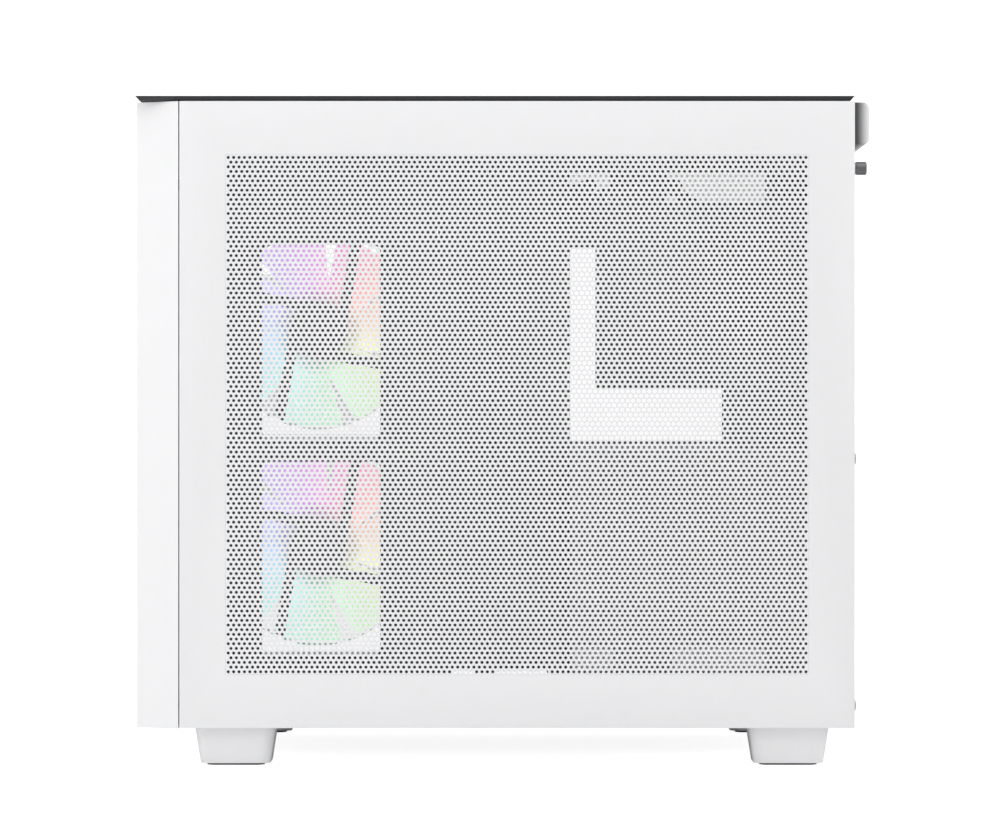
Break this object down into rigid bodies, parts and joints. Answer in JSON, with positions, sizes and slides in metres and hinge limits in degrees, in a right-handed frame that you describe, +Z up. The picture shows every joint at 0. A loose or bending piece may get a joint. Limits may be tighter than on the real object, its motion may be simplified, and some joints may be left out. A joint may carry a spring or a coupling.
{
  "type": "desktop computer tower",
  "caption": "White two-chamber desktop computer tower with a perforated steel side, glass front and side, lit fans, four tapered feet and a full computer inside.",
  "frame": {"origin": "on the ground, in the middle of the whole tower's width and depth", "axes": "+Z up, -Y towards the front glass, +X towards the perforated side panel"},
  "size_m": [0.285, 0.412, 0.373],
  "materials": {
    "painted_steel": "white powder coat, satin",
    "white_moulding": "white moulded plastic, fine texture",
    "foot_moulding": "white moulded plastic",
    "clear_glass": "clear tempered glass",
    "dark_steel": "dark nickel",
    "black_plastic": "black moulded plastic",
    "pad_rubber": "black rubber",
    "filter_mesh": "fine woven filter",
    "soft_grip": "light grey soft moulding",
    "fan_frame_plastic": "white moulded plastic",
    "glow_blades": "frosted translucent, lit from the hub",
    "white_blades": "frosted translucent",
    "plated_steel": "zinc plated",
    "aluminium_fins": "bare aluminium",
    "nickel_pipes": "nickel plated",
    "circuit_board": "dark solder mask",
    "socket_plastic": "black moulded sockets",
    "white_heatsink": "white anodised",
    "supply_steel": "grey powder coat",
    "pale_label": "blank pale label",
    "inner_steel": "graphite powder coat",
    "drive_case": "black painted case",
    "lead_sleeve": "black braided sleeve",
    "cover_moulding": "bright white moulded plastic"
  },
  "bodies": {
    "chassis": {"floor_pan": "painted_steel", "rear_panel": "painted_steel", "top_frame": "painted_steel", "motherboard_tray": "inner_steel", "front_column": "white_moulding", "feet": "foot_moulding", "foot_pads": "pad_rubber", "front_circuit": "circuit_board", "front_ports": "plated_steel", "cable_cover": "cover_moulding", "drive_tray": "inner_steel", "solid_state_drive": "drive_case", "supply_shell": "supply_steel", "supply_labels": "pale_label", "supply_circuit": "circuit_board", "supply_fan_mount": "plated_steel", "supply_inlet": "black_plastic", "supply_switch_frame": "black_plastic", "motherboard_pcb": "circuit_board", "board_standoffs": "nickel_pipes", "cooler_base": "nickel_pipes", "cooler_fins": "aluminium_fins", "memory_modules": "white_heatsink", "board_heatsinks": "white_heatsink", "board_sockets": "socket_plastic", "rear_ports": "plated_steel", "port_cover": "white_heatsink", "port_shield": "plated_steel", "graphics_board": "circuit_board", "graphics_shroud": "white_moulding", "graphics_heatsink": "aluminium_fins", "graphics_backplate": "white_heatsink", "graphics_bracket": "plated_steel", "screws": "dark_steel", "power_leads": "lead_sleeve", "side_fan_upper_frame": "fan_frame_plastic", "side_fan_lower_frame": "fan_frame_plastic", "rear_fan_frame": "fan_frame_plastic", "cooler_fan_frame": "fan_frame_plastic"},
    "mesh_panel_body": {"mesh_panel": "painted_steel"},
    "side_glass_body": {"side_glass": "clear_glass", "side_glass_rails": "painted_steel"},
    "front_glass_body": {"front_glass": "clear_glass", "front_glass_rails": "painted_steel"},
    "lid_body": {"top_panel": "painted_steel", "top_panel_pegs": "white_moulding", "top_filter": "filter_mesh", "top_pull_grip": "soft_grip"},
    "bottom_filter_body": {"bottom_filter": "black_plastic"},
    "thumbscrew_body": {"thumbscrew": "dark_steel"},
    "power_button_body": {"power_button": "white_moulding"},
    "reset_button_body": {"reset_button": "white_moulding"},
    "supply_rocker_body": {"supply_rocker": "black_plastic"},
    "side_fan_upper_wheel": {"side_fan_upper_rotor": "glow_blades"},
    "side_fan_lower_wheel": {"side_fan_lower_rotor": "glow_blades"},
    "rear_fan_wheel": {"rear_fan_rotor": "glow_blades"},
    "cooler_fan_wheel": {"cooler_fan_rotor": "glow_blades"},
    "graphics_front_wheel": {"graphics_front_rotor": "white_blades"},
    "graphics_rear_wheel": {"graphics_rear_rotor": "white_blades"},
    "supply_fan_wheel": {"supply_rotor": "black_plastic"}
  },
  "joints": [
    {"name": "mesh_panel_pull", "type": "slide", "parent": "chassis", "child": "mesh_panel_body", "axis": [1, 0, 0], "range_m": [0, 0.06]},
    {"name": "side_glass_pull", "type": "slide", "parent": "chassis", "child": "side_glass_body", "axis": [-1, 0, 0], "range_m": [0, 0.06]},
    {"name": "front_glass_pull", "type": "slide", "parent": "chassis", "child": "front_glass_body", "axis": [0, -1, 0], "range_m": [0, 0.06]},
    {"name": "lid_lift", "type": "slide", "parent": "chassis", "child": "lid_body", "axis": [0, 0, 1], "range_m": [0, 0.05]},
    {"name": "bottom_filter_slide", "type": "slide", "parent": "chassis", "child": "bottom_filter_body", "axis": [0, 1, 0], "range_m": [0, 0.36]},
    {"name": "power_button_press", "type": "slide", "parent": "chassis", "child": "power_button_body", "axis": [0, 1, 0], "range_m": [0, 0.0016], "stiffness_N_per_m": 700},
    {"name": "reset_button_press", "type": "slide", "parent": "chassis", "child": "reset_button_body", "axis": [0, 1, 0], "range_m": [0, 0.001], "stiffness_N_per_m": 700},
    {"name": "supply_rocker_tilt", "type": "hinge", "parent": "chassis", "child": "supply_rocker_body", "pos_m": [0.1101, 0.1864, 0.059], "axis": [1, 0, 0], "range_deg": [0, 18]},
    {"name": "thumbscrew_turn", "type": "hinge", "parent": "chassis", "child": "thumbscrew_body", "pos_m": [0.1296, 0.194, 0.3332], "axis": [0, 1, 0], "continuous": true},
    {"name": "side_fan_upper_spin", "type": "hinge", "parent": "chassis", "child": "side_fan_upper_wheel", "pos_m": [0.0393, -0.1085, 0.2445], "axis": [1, 0, 0], "continuous": true},
    {"name": "side_fan_lower_spin", "type": "hinge", "parent": "chassis", "child": "side_fan_lower_wheel", "pos_m": [0.0393, -0.1085, 0.1195], "axis": [1, 0, 0], "continuous": true},
    {"name": "rear_fan_spin", "type": "hinge", "parent": "chassis", "child": "rear_fan_wheel", "pos_m": [-0.064, 0.1803, 0.25], "axis": [0, 1, 0], "continuous": true},
    {"name": "cooler_fan_spin", "type": "hinge", "parent": "chassis", "child": "cooler_fan_wheel", "pos_m": [-0.05415, 0.0431, 0.236], "axis": [0, 1, 0], "continuous": true},
    {"name": "graphics_front_spin", "type": "hinge", "parent": "chassis", "child": "graphics_front_wheel", "pos_m": [-0.02315, 0.0088, 0.1122], "axis": [0, 0, 1], "continuous": true},
    {"name": "graphics_rear_spin", "type": "hinge", "parent": "chassis", "child": "graphics_rear_wheel", "pos_m": [-0.02315, 0.1128, 0.1122], "axis": [0, 0, 1], "continuous": true},
    {"name": "supply_fan_spin", "type": "hinge", "parent": "chassis", "child": "supply_fan_wheel", "pos_m": [0.0656, 0.1139, 0.102], "axis": [1, 0, 0], "continuous": true}
  ]
}
